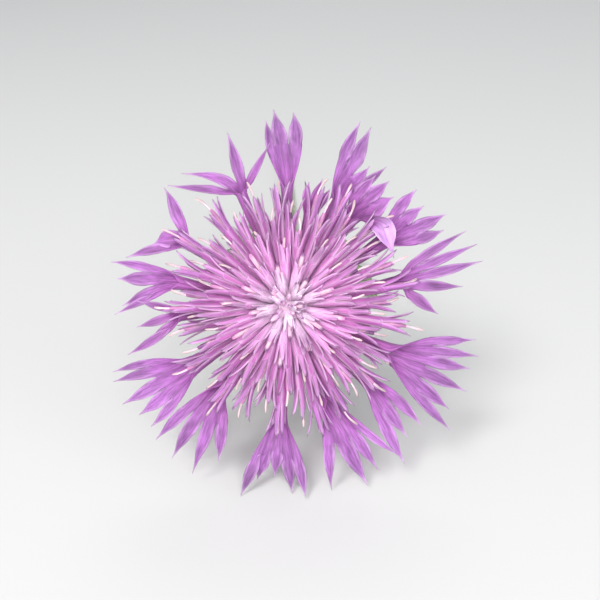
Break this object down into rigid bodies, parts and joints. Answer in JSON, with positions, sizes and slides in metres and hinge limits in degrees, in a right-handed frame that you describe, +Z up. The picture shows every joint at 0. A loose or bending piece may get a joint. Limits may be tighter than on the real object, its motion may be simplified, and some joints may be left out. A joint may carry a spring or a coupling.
{
  "type": "cut flower of centaurea simplicicaulis",
  "caption": "Single cut flower with a spreading lilac-pink head of lobed outer florets and slender inner florets, a scaly green cup, a ribbed stem and small cut leaves.",
  "frame": {"origin": "on the surface that the flower lies on, under the middle of the whole flower seen from above", "axes": "+Y from the head towards the cut end of the stem, +Z up from the surface, +X to the right as the head faces the viewer"},
  "size_m": [0.0502, 0.1834, 0.0471],
  "materials": {
    "ray_petal": "matte",
    "disc_petal": "matte",
    "bract": "matte",
    "stem": "matte",
    "leaf": "matte"
  },
  "bodies": {
    "root": {"ray_florets": "ray_petal", "disc_florets": "disc_petal", "involucre": "bract", "stem": "stem", "leaf_1": "leaf", "leaf_2": "leaf"}
  },
  "joints": []
}
